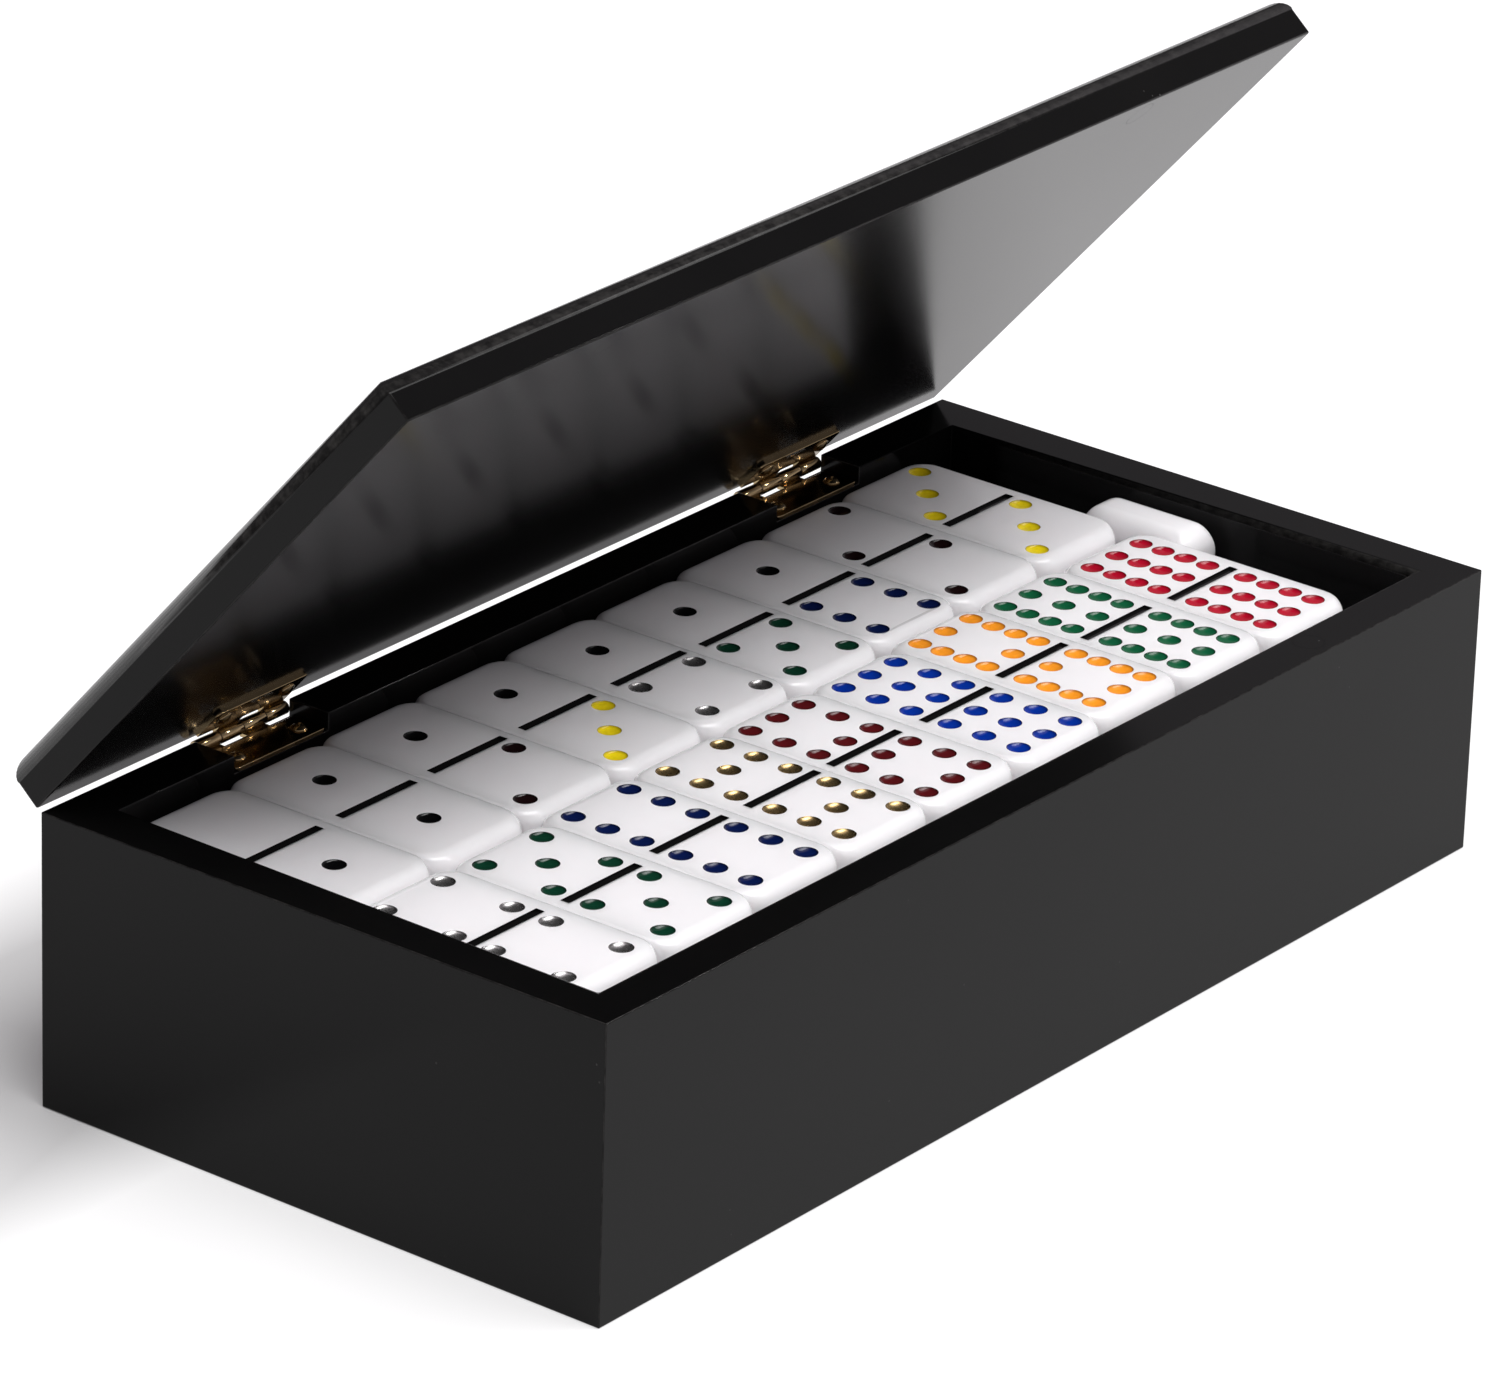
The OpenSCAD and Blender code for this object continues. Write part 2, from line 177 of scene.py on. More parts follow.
def smoothRounds(bm):
    # flat boards stay flat; their rounded edges are smooth and carry the wear along their middle
    layer = bm.verts.layers.float.new("wear")
    bm.normal_update()
    for face in bm.faces:
        face.smooth = isRound(face)
    for vert in bm.verts:
        vert[layer] = 1 if all(f.smooth for f in vert.link_faces) else 0


openLid = (Matrix.Translation((0, pivot["y"] * mm, pivot["z"] * mm))
           @ Matrix.Rotation(radians(-lid["open"]), 4, "X")
           @ Matrix.Translation((0, -pivot["y"] * mm, -pivot["z"] * mm)))
closeTurn = radians(lid["open"])
closeMove = openLid.inverted().translation

paintLook = {"dark": (0.0022, 0.0022, 0.0023), "light": (0.0038, 0.0037, 0.0036),
             "worn": (0.03, 0.029, 0.0275), "dust": (0.05, 0.05, 0.048), "ior": 1.22,
             "gloss": (0.13, 0.16), "mottle": 11, "grain": 260, "grainStretch": 0.07, "peel": 900,
             "rubs": 420, "specks": 420, "speckClouds": 90, "bump": 0.1, "bumpDeep": 0.02}


def blackPaint(name, onLid=False):
    material, tree, shader = newMaterial(name, {"IOR": paintLook["ior"]})
    # the pattern runs on from the closed box to the lid, so the lid's is turned back
    turn, move = ((closeTurn, 0, 0), closeMove) if onLid else ((0, 0, 0), (0, 0, 0))
    spot = place(tree, turn, move)
    grainSpot = addNode(tree, "ShaderNodeMapping",
                        {"Vector": spot, "Scale": (paintLook["grainStretch"], 1, 1)}).outputs[0]
    mottle = noise(tree, spot, paintLook["mottle"], 5, 0.6)
    grain = noise(tree, grainSpot, paintLook["grain"], 4, 0.6)
    peel = noise(tree, spot, paintLook["peel"], 2)
    color = blendColor(tree, stretch(tree, mottle),
                       rgba(paintLook["dark"]), rgba(paintLook["light"]))
    # rubbed edges
    wear = addNode(tree, "ShaderNodeAttribute", attribute_name="wear").outputs["Fac"]
    patchy = remap(tree, noise(tree, spot, paintLook["rubs"], 3, 0.7), 0.4, 0.75, 0.15, 1)
    color = blendColor(tree, maths(tree, "MULTIPLY", wear, patchy), color, rgba(paintLook["worn"]))
    # a few specks of dust
    cells = addNode(tree, "ShaderNodeTexVoronoi", {"Vector": spot, "Scale": paintLook["specks"]})
    speck = remap(tree, cells.outputs["Distance"], 0.05, 0.1, 1, 0)
    rare = remap(tree, noise(tree, spot, paintLook["speckClouds"], 2), 0.68, 0.72)
    color = blendColor(tree, maths(tree, "MULTIPLY", speck, rare), color, rgba(paintLook["dust"]))
    tree.links.new(color, shader.inputs["Base Color"])
    tree.links.new(stretch(tree, mottle, *paintLook["gloss"]), shader.inputs["Roughness"])
    height = maths(tree, "ADD", maths(tree, "MULTIPLY", grain, 0.6),
                   maths(tree, "MULTIPLY", peel, 0.4))
    bumped(tree, shader, height, paintLook["bump"], paintLook["bumpDeep"] * mm)
    return material


whiteLook = {"light": (0.875, 0.855, 0.872), "shade": (0.855, 0.835, 0.853), "ior": 1.45,
             "coat": 0.15, "coatRough": 0.05, "milk": 0.95, "milkReach": (1, 0.95, 0.95),
             "milkDeep": 9, "rough": (0.14, 0.2), "clouds": 70, "smears": 300, "ripple": 160,
             "bump": 0.15, "bumpDeep": 0.04}


def dominoWhite():
    # milky plastic, so thin edges and narrow gaps glow a little
    material, tree, shader = newMaterial("dominoWhite", {
        "IOR": whiteLook["ior"], "Coat Weight": whiteLook["coat"],
        "Coat Roughness": whiteLook["coatRough"], "Subsurface Weight": whiteLook["milk"],
        "Subsurface Radius": whiteLook["milkReach"],
        "Subsurface Scale": whiteLook["milkDeep"] * mm})
    spot = place(tree)
    cloud = noise(tree, spot, whiteLook["clouds"])
    color = blendColor(tree, stretch(tree, cloud),
                       rgba(whiteLook["light"]), rgba(whiteLook["shade"]))
    tree.links.new(color, shader.inputs["Base Color"])
    rough = stretch(tree, noise(tree, spot, whiteLook["smears"]), *whiteLook["rough"])
    tree.links.new(rough, shader.inputs["Roughness"])
    ripple = noise(tree, spot, whiteLook["ripple"], 2)
    bumped(tree, shader, ripple, whiteLook["bump"], whiteLook["bumpDeep"] * mm)
    return material


# the paint in the pips of each number, and whether it is a metal paint
pipPaint = {
    "groove": ((0.004, 0.004, 0.004), 0), 1: ((0.003, 0.003, 0.0035), 0),
    2: ((0.011, 0.0035, 0.004), 0), 3: ((0.97, 0.76, 0.012), 0), 4: ((0.5, 0.49, 0.49), 0.95),
    5: ((0.0035, 0.036, 0.018), 0), 6: ((0.0025, 0.0085, 0.06), 0), 7: ((0.52, 0.37, 0.17), 0.95),
    8: ((0.085, 0.006, 0.008), 0), 9: ((0.002, 0.027, 0.28), 0), 10: ((0.9, 0.32, 0.022), 0),
    11: ((0.006, 0.1, 0.04), 0), 12: ((0.42, 0.005, 0.022), 0)
}

# the last three values set the painted shade round the top of each pip's hollow
pipLook = {"ior": 1.4, "rough": (0.03, 0.05), "metalRough": (0.22, 0.3), "streaks": 900,
           "streakDim": 0.85, "shadeRingLow": 54.1, "shadeRingHigh": 54.45, "shadeRingDim": 0.3}


def pipMaterial(number):
    color, metal = pipPaint[number]
    material, tree, shader = newMaterial(f"paint_{number}",
                                         {"Metallic": metal, "IOR": pipLook["ior"]})
    spot = place(tree)
    streak = stretch(tree, noise(tree, spot, pipLook["streaks"], 2))
    paint = blendColor(tree, streak, rgba(color), rgba([c * pipLook["streakDim"] for c in color]))
    # painted shade: the paint is darker near the top of each pip's hollow, where its steep rim lies
    # in shade
    high = addNode(tree, "ShaderNodeSeparateXYZ", {0: spot}).outputs["Z"]
    edge = remap(tree, high, pipLook["shadeRingLow"] * mm, pipLook["shadeRingHigh"] * mm)
    paint = blendColor(tree, edge, paint, rgba([c * pipLook["shadeRingDim"] for c in color]))
    tree.links.new(paint, shader.inputs["Base Color"])
    rough = pipLook["metalRough"] if metal else pipLook["rough"]
    tree.links.new(remap(tree, streak, 0, 1, *rough), shader.inputs["Roughness"])
    return material


brassLook = {"clean": (0.36, 0.27, 0.15), "dull": (0.19, 0.14, 0.075), "rough": (0.1, 0.2),
             "tarnish": 160, "ripple": 500, "bump": 0.1, "bumpDeep": 0.03}


def brassMaterial():
    material, tree, shader = newMaterial("brass", {"Metallic": 1})
    spot = place(tree)
    tarnish = remap(tree, noise(tree, spot, brassLook["tarnish"], 4, 0.6), 0.45, 0.75)
    color = blendColor(tree, tarnish, rgba(brassLook["clean"]), rgba(brassLook["dull"]))
    tree.links.new(color, shader.inputs["Base Color"])
    tree.links.new(remap(tree, tarnish, 0, 1, *brassLook["rough"]), shader.inputs["Roughness"])
    ripple = noise(tree, spot, brassLook["ripple"], 2)
    bumped(tree, shader, ripple, brassLook["bump"], brassLook["bumpDeep"] * mm)
    return material


woodLook = {"light": (0.02, 0.019, 0.018), "dark": (0.012, 0.011, 0.01), "clouds": 120,
            "rough": (0.6, 0.75), "metal": 0}
steelLook = {"light": (0.5, 0.5, 0.52), "dark": (0.38, 0.38, 0.4), "clouds": 300,
             "rough": (0.25, 0.4), "metal": 1}


def plainMaterial(name, look):
    material, tree, shader = newMaterial(name, {"Metallic": look["metal"]})
    cloud = stretch(tree, noise(tree, place(tree), look["clouds"], 4))
    color = blendColor(tree, cloud, rgba(look["light"]), rgba(look["dark"]))
    tree.links.new(color, shader.inputs["Base Color"])
    tree.links.new(remap(tree, cloud, 0, 1, *look["rough"]), shader.inputs["Roughness"])
    return material


boxPaint = blackPaint("boxPaint")
lidPaint = blackPaint("lidPaint", onLid=True)
white = dominoWhite()
brass = brassMaterial()
bareWood = plainMaterial("bareWood", woodLook)
steel = plainMaterial("magnetSteel", steelLook)
print("materials made")


def dress(names, material):
    for name in names:
        mesh = nodes[name].data
        mesh.materials.clear()
        mesh.materials.append(material)


dress(["bottom_panel"], bareWood)
dress(["rim_magnet_fillers"], boxPaint)
dress(["lid_magnet_fillers"], lidPaint)
dress(["rim_magnets", "lid_magnets"], steel)
dress([f"domino_layer_{k}" for k in range(1, 5)], white)
dress(["left_hinge_pin", "right_hinge_pin"], brass)


def magnetBores(z, depth):
    bm = bmesh.new()
    for x in (magnet["left"], magnet["right"]):
        made = bmesh.ops.create_cone(bm, cap_ends=True, segments=magnet["around"],
                                     radius1=magnet["radius"] * mm, radius2=magnet["radius"] * mm,
                                     depth=depth * mm)["verts"]
        bmesh.ops.translate(bm, vec=(x * mm, magnet["y"] * mm, z * mm), verts=made)
    return bm


def boxShell():
    length, width, height = (box[k] * mm for k in ("length", "width", "height"))
    wall, bottom, lap = (box[k] * mm for k in ("wall", "bottom", "lap"))
    floorZ = (pivot["z"] - hinge["back"]) * mm
    bm = bmesh.new()
    block(bm, (length, width, height), (0, 0, height / 2))
    bm.normal_update()
    # sink the hole from above and the rebate from below, then join them
    top = facesFacing(bm.faces, (0, 0, 1))[0]
    under = facesFacing(bm.faces, (0, 0, -1))[0]
    bmesh.ops.inset_region(bm, faces=[top], thickness=wall, use_even_offset=True)
    bmesh.ops.inset_region(bm, faces=[under], thickness=wall - lap, use_even_offset=True)
    ends = []
    for face, depth in ((top, bottom - height), (under, bottom)):
        made = bmesh.ops.extrude_face_region(bm, geom=[face])["geom"]
        verts = [v for v in made if isinstance(v, bmesh.types.BMVert)]
        bmesh.ops.translate(bm, vec=(0, 0, depth), verts=verts)
        ends.append([f for f in made if isinstance(f, bmesh.types.BMFace)][0])
        if face.is_valid:
            bm.faces.remove(face)
    rims = [e for f in ends for e in f.edges]
    bmesh.ops.delete(bm, geom=ends, context="FACES_ONLY")
    bmesh.ops.bridge_loops(bm, edges=rims)
    # one opening through the back board for each hinge
    half = (hinge["length"] / 2 + hinge["play"]) * mm
    for x in (hinge["left"] * mm, hinge["right"] * mm):
        for plane, normal in (((x - half, 0, 0), (1, 0, 0)), ((x + half, 0, 0), (1, 0, 0)),
                              ((0, 0, floorZ), (0, 0, 1))):
            bmesh.ops.bisect_plane(bm, geom=bm.verts[:] + bm.edges[:] + bm.faces[:],
                                   plane_co=plane, plane_no=normal, dist=touch)
    bm.normal_update()
    for x in (hinge["left"] * mm, hinge["right"] * mm):
        gone = []
        for face in bm.faces:
            c = face.calc_center_median()
            if abs(c.x - x) < half and c.y > width / 2 - wall - tiny and c.z > floorZ:
                gone.append(face)
        chains = []
        for y in (width / 2, width / 2 - wall):
            side = [f for f in gone if abs(f.calc_center_median().y - y) < tiny]
            chains += [e for f in side for e in f.edges
                       if min(v.co.z for v in e.verts) < height - tiny]
        bmesh.ops.delete(bm, geom=gone, context="FACES_ONLY")
        bmesh.ops.bridge_loops(bm, edges=chains)
    bmesh.ops.dissolve_limit(bm, angle_limit=radians(1), verts=bm.verts, edges=bm.edges)
    bmesh.ops.recalc_face_normals(bm, faces=bm.faces)
    corners = [e for e in bm.edges if all(abs(abs(v.co.x) - length / 2 + wall) < tiny
                                          and abs(abs(v.co.y) - width / 2 + wall) < tiny
                                          for v in e.verts)]
    roundEdges(bm, corners, box["corner"] * mm, box["cornerSteps"])
    bm.normal_update()
    # the rebate underneath stays sharp
    endX, endY = length / 2 - tiny, width / 2 - tiny
    sharp = []
    for edge in bm.edges:
        high = max(v.co.z for v in edge.verts) > 2 * bottom
        if high and edge.is_manifold and edge.calc_face_angle() > sharpBend:
            sharp.append(edge)
        elif all(v.co.z < tiny and (abs(v.co.x) > endX or abs(v.co.y) > endY) for v in edge.verts):
            sharp.append(edge)
    roundEdges(bm, sharp, box["edge"] * mm, box["edgeSteps"])
    smoothRounds(bm)
    piece = finishPiece(bm, "box_shell", [boxPaint], "box",
                        ["front_wall", "back_wall", "left_wall", "right_wall"])
    cutAway(piece, magnetBores(box["height"], 2 * magnet["deep"]), "rim_bores")


boxShell()
print("box shell made")


def lidBoard():
    length = (box["length"] - 2 * lid["short"]) * mm
    width, thick = box["width"] * mm, lid["thick"] * mm
    low = (box["height"] + lid["gap"]) * mm
    bm = bmesh.new()
    block(bm, (length, width, thick), (0, 0, low + thick / 2))
    upper = [e for e in bm.edges if all(v.co.z > low + thick / 2 for v in e.verts)]
    roundEdges(bm, upper, lid["round"] * mm, lid["roundSteps"])
    bm.normal_update()
    rest = [e for e in bm.edges if all(abs(v.co.z - low) < tiny for v in e.verts)
            or (e.calc_face_angle() > squareBend and min(v.co.z for v in e.verts) < low + tiny)]
    roundEdges(bm, rest, lid["edge"] * mm, lid["edgeSteps"])
    smoothRounds(bm)
    layer = bm.verts.layers.float["wear"]
    endX, endY = length / 2 - lid["rubbed"] * mm, width / 2 - lid["rubbed"] * mm
    for vert in bm.verts:
        if vert.co.z > low + 1.5 * lid["edge"] * mm:
            # only the corners of the rounded upper edges are rubbed
            vert[layer] *= abs(vert.co.x) > endX and abs(vert.co.y) > endY
    piece = finishPiece(bm, "lid_board", [lidPaint], "lid", ["lid_panel"])
    cutAway(piece, magnetBores(box["height"] + lid["gap"], 2 * magnet["deep"]), "lid_bores")
    piece.data.transform(openLid)


lidBoard()
print("lid made")

leaf = {"width": 10, "thick": 0.8, "cornerR": 1.1, "cornerSteps": 6, "notch": 2.2, "edge": 0.12,
        "edgeSteps": 2, "barrelR": 1.3, "boreR": 0.65, "around": 40, "knuckles": 4, "gap": 0.2}


def knuckleRing(bm, length):
    bmesh.ops.create_cone(bm, cap_ends=True, segments=leaf["around"], radius1=leaf["barrelR"] * mm,
                          radius2=leaf["barrelR"] * mm, depth=length * mm)
    caps = [f for f in bm.faces if len(f.verts) == leaf["around"]]
    bmesh.ops.inset_region(bm, faces=caps, thickness=(leaf["barrelR"] - leaf["boreR"]) * mm,
                           use_even_offset=True)
    inner = [e for f in caps for e in f.edges]
    bmesh.ops.delete(bm, geom=caps, context="FACES_ONLY")
    bmesh.ops.bridge_loops(bm, edges=inner)


def hingeLeaf(name, body, x, own, toLid, cadNode):
    length, pitch = hinge["length"], hinge["length"] / leaf["knuckles"]
    bm = bmesh.new()
    # a plate that stops short of the pin, with a tongue to each of its own knuckles
    reach = leaf["notch"]
    block(bm, (length * mm, (leaf["width"] - reach) * mm, leaf["thick"] * mm),
          (0, -(leaf["width"] + reach) / 2 * mm, 0))
    for i in range(1, leaf["knuckles"]):
        bmesh.ops.bisect_plane(bm, geom=bm.verts[:] + bm.edges[:] + bm.faces[:], dist=touch,
                               plane_co=((i * pitch - length / 2) * mm, 0, 0), plane_no=(1, 0, 0))
    bm.normal_update()
    tongues = []
    for face in facesFacing(bm.faces, (0, 1, 0)):
        if int((face.calc_center_median().x / mm + length / 2) // pitch) % 2 == own:
            tongues.append(face)
    made = bmesh.ops.extrude_discrete_faces(bm, faces=tongues)["faces"]
    for face in made:
        bmesh.ops.translate(bm, vec=(0, reach * mm, 0), verts=face.verts)
    # the two upright edges at the leaf's free side
    upright = [e for e in bm.edges if abs(e.verts[0].co.z - e.verts[1].co.z) > tiny]
    corners = [e for e in upright if all(abs(v.co.y + leaf["width"] * mm) < tiny
                                         and abs(abs(v.co.x) - length / 2 * mm) < tiny
                                         for v in e.verts)]
    roundEdges(bm, corners, leaf["cornerR"] * mm, leaf["cornerSteps"])
    bmesh.ops.dissolve_limit(bm, angle_limit=radians(1), verts=bm.verts, edges=bm.edges)
    bm.normal_update()
    upper = [e for e in bm.edges if all(v.co.z > 0 for v in e.verts)
             and e.calc_face_angle() > sharpBend]
    roundEdges(bm, upper, leaf["edge"] * mm, leaf["edgeSteps"])
    bmesh.ops.translate(bm, vec=(0, 0, (leaf["thick"] / 2 - hinge["back"]) * mm), verts=bm.verts)
    for i in range(own, leaf["knuckles"], 2):
        ringMesh = bmesh.new()
        knuckleRing(ringMesh, pitch - leaf["gap"])
        bmesh.ops.rotate(ringMesh, verts=ringMesh.verts, cent=(0, 0, 0),
                         matrix=Matrix.Rotation(pi / 2, 3, "Y"))
        bmesh.ops.translate(ringMesh, verts=ringMesh.verts,
                            vec=(((i + 0.5) * pitch - length / 2) * mm, 0, 0))
        ringMesh.normal_update()
        middleR = (leaf["barrelR"] + leaf["boreR"]) / 2
        outer = [e for e in ringMesh.edges if e.calc_face_angle() > sharpBend
                 and e.verts[0].co.yz.length > middleR * mm]
        roundEdges(ringMesh, outer, leaf["edge"] * mm, leaf["edgeSteps"])
        bmesh.ops.recalc_face_normals(ringMesh, faces=ringMesh.faces)
        scrap = bpy.data.meshes.new("ring")
        ringMesh.to_mesh(scrap)
        ringMesh.free()
        bm.from_mesh(scrap)
        bpy.data.meshes.remove(scrap)
    bm.normal_update()
    for face in bm.faces:
        face.smooth = isRound(face)
    if toLid:
        bmesh.ops.scale(bm, vec=(1, 1, -1), verts=bm.verts)
        bmesh.ops.reverse_faces(bm, faces=bm.faces)
    bmesh.ops.translate(bm, vec=(x * mm, pivot["y"] * mm, pivot["z"] * mm), verts=bm.verts)
    if toLid:
        bmesh.ops.transform(bm, matrix=openLid, verts=bm.verts)
    finishPiece(bm, name, [brass], body, [cadNode])


screw = {"headR": 1.8, "headHigh": 0.9, "shankR": 1.1, "long": 7, "tip": 1.5, "apart": 17,
         "fromPin": 6.6, "around": 32, "domeSteps": 6, "crossLong": 2.5, "crossWide": 0.5,
         "crossDeep": 0.65, "crossTaper": (0.45, 0.7), "crossTurn": 20}


def screwOutline():
    # from the tip up the shank, then over the domed head
    domeR = (screw["headR"] ** 2 + screw["headHigh"] ** 2) / (2 * screw["headHigh"])
    rise = asin(screw["headR"] / domeR)
    points = [(0, -screw["long"]), (screw["shankR"], screw["tip"] - screw["long"]),
              (screw["shankR"], 0)]
    for i in range(screw["domeSteps"] + 1):
        angle = rise * (1 - i / screw["domeSteps"])
        points.append((domeR * sin(angle), domeR * (cos(angle) - 1) + screw["headHigh"]))
    return points


def crossCutter(turned):
    # one bar of the cross in each of the two heads, narrower towards its bottom
    bm = bmesh.new()
    size = (screw["crossLong"] * mm, screw["crossWide"] * mm, 2 * screw["crossDeep"] * mm)
    for x in (-screw["apart"] / 2, screw["apart"] / 2):
        made = block(bm, size, (0, 0, 0))
        bmesh.ops.scale(bm, vec=(*screw["crossTaper"], 1), verts=[v for v in made if v.co.z < 0])
        angle = radians(turned + screw["crossTurn"] * (1 if x > 0 else -1))
        bmesh.ops.rotate(bm, verts=made, cent=(0, 0, 0), matrix=Matrix.Rotation(angle, 3, "Z"))
        bmesh.ops.translate(bm, vec=(x * mm, 0, screw["headHigh"] * mm), verts=made)
    return bm


def screwPair(name, body, x, toLid, cadNode):
    bm = bmesh.new()
    for side in (-screw["apart"] / 2, screw["apart"] / 2):
        verts = [bm.verts.new((r * mm, 0, z * mm)) for r, z in screwOutline()]
        edges = [bm.edges.new(pair) for pair in zip(verts, verts[1:])]
        bmesh.ops.spin(bm, geom=verts + edges, cent=(0, 0, 0), axis=(0, 0, 1), angle=2 * pi,
                       steps=screw["around"], use_merge=True)
        near = [v for v in bm.verts if v.co.xy.length < 2 * screw["headR"] * mm]
        bmesh.ops.translate(bm, vec=(side * mm, 0, 0), verts=near)
    bmesh.ops.remove_doubles(bm, verts=bm.verts, dist=touch)
    bmesh.ops.recalc_face_normals(bm, faces=bm.faces)
    for face in bm.faces:
        face.smooth = face.calc_center_median().z > 0
    piece = finishPiece(bm, name, [brass], body, [cadNode])
    for turned in (0, 90):
        cutAway(piece, crossCutter(turned), "cross")
    seatZ = (leaf["thick"] - hinge["back"]) * mm
    piece.data.transform(Matrix.Translation((0, -screw["fromPin"] * mm, seatZ)))
    if toLid:
        piece.data.transform(Matrix.Diagonal((1, 1, -1, 1)))
        piece.data.flip_normals()
    piece.data.transform(Matrix.Translation((x * mm, pivot["y"] * mm, pivot["z"] * mm)))
    if toLid:
        piece.data.transform(openLid)


for side in ("left", "right"):
    for body, own, toLid in (("box", 0, False), ("lid", 1, True)):
        hingeLeaf(f"{side}_{body}_leaf", body, hinge[side], own, toLid, f"{side}_hinge_{body}_leaf")
        screwPair(f"{side}_{body}_screws", body, hinge[side], toLid, f"{side}_hinge_{body}_screws")
print("hinges made")

domino = {"length": 50.8, "width": 25.4, "thick": 9.86, "cornerR": 4.2, "cornerSteps": 10,
          "endR": 3, "endAngles": (15, 30, 42, 50, 60, 70, 80, 90), "sideR": 0.5, "rim": 0.25,
          "pitch": 25.45, "firstX": -107.78, "topZ": 44.6, "standing": (113.75, 1.5, 5)}
pip = {"radius": 2.25, "wide": 2.35, "round": 1.15, "x": 7.8, "y": 7.775, "half": 12.125,
       "around": 32, "rings": 24}
groove = {"length": 20.4, "width": 1.9, "deep": 0.5, "corner": 0.15, "cornerSteps": 2}
# pips on the back half and on the front half, the gap behind each domino,
# and how far its pips and groove sit off the middle, to the right and to the back
backRow = [(0, 1, 1.2, -0.1, 0), (1, 1, 0.9, 0.3, 0), (1, 2, 0.6, 0.2, 0), (1, 3, 0.7, 0, 0),
           (1, 4, 0.6, 1, 0), (1, 5, 1.3, 0.4, 0), (1, 6, 0.3, 0.5, -0.5), (2, 2, 0.6, -0.5, 0),
           (3, 3, 0.2, -0.1, 0)]
frontRow = [(4, 4, 0.1, -0.6, 0.3), (5, 5, 1.1, -0.4, 0), (6, 6, 0.1, 0.1, 0),
            (7, 7, 0.3, 0.8, 0), (8, 8, 0.4, -0.8, 0), (9, 9, 0.4, 0.3, 0),
            (10, 10, 0.1, 0.2, 0.5), (11, 11, 0.6, -0.7, 0), (12, 12, 2.1, -0.3, 0)]


def pipPlaces(number):
    # from -1 to 1 across and along one half of a face; sides(n) is two columns of n pips
    def sides(n):
        return [(x, 2 * i / (n - 1) - 1) for i in range(n) for x in (-1, 1)]

    diagonal = [(1, 1), (-1, -1)]
    middle = [(0, 0)]
    ends = [(0, 1), (0, -1)]
    places = {0: [], 1: middle, 2: diagonal, 3: diagonal + middle, 4: sides(2),
              5: sides(2) + middle, 6: sides(3), 7: sides(3) + middle, 8: sides(3) + ends,
              9: sides(3) + ends + middle, 10: sides(4) + ends, 11: sides(4) + ends + middle,
              12: sides(4) + [(0, 2 * i / 3 - 1) for i in range(4)]}
    return places[number]


def roundOver(bm, face, upward):
    # steps from the widest outline in to the flat of the face
    length, width = domino["length"], domino["width"]
    lastX, lastY, lastZ = width / 2, length / 2, 0
    for angle in domino["endAngles"]:
        z = domino["endR"] * sin(radians(angle))
        over = z - (domino["endR"] - domino["sideR"])
        x = width / 2
        if over > 0:
            x -= domino["sideR"] - sqrt(max(0, domino["sideR"] ** 2 - over ** 2))
        y = length / 2 - domino["endR"] * (1 - cos(radians(angle)))
        made = bmesh.ops.extrude_face_region(bm, geom=[face])["geom"]
        verts = [v for v in made if isinstance(v, bmesh.types.BMVert)]
        bmesh.ops.translate(bm, vec=(0, 0, (z - lastZ) * mm * upward), verts=verts)
        bmesh.ops.scale(bm, vec=(x / lastX, y / lastY, 1), verts=verts)
        if face.is_valid:
            bm.faces.remove(face)
        face = [f for f in made if isinstance(f, bmesh.types.BMFace)][0]
        lastX, lastY, lastZ = x, y, z
    bmesh.ops.inset_region(bm, faces=[face], thickness=domino["rim"] * mm, use_even_offset=True)
    return face


def dominoBlank():
    bm = bmesh.new()
    straight = domino["thick"] - 2 * domino["endR"]
    block(bm, (domino["width"] * mm, domino["length"] * mm, straight * mm),
          (0, 0, domino["thick"] / 2 * mm))
    upright = [e for e in bm.edges if abs(e.verts[0].co.z - e.verts[1].co.z) > tiny]
    roundEdges(bm, upright, domino["cornerR"] * mm, domino["cornerSteps"])
    bm.normal_update()
    flats = []
    for up in (1, -1):
        flats.append(roundOver(bm, facesFacing(bm.faces, (0, 0, up))[0], up))
    for face in bm.faces:
        face.smooth = face not in flats
    bmesh.ops.recalc_face_normals(bm, faces=bm.faces)
    return bm


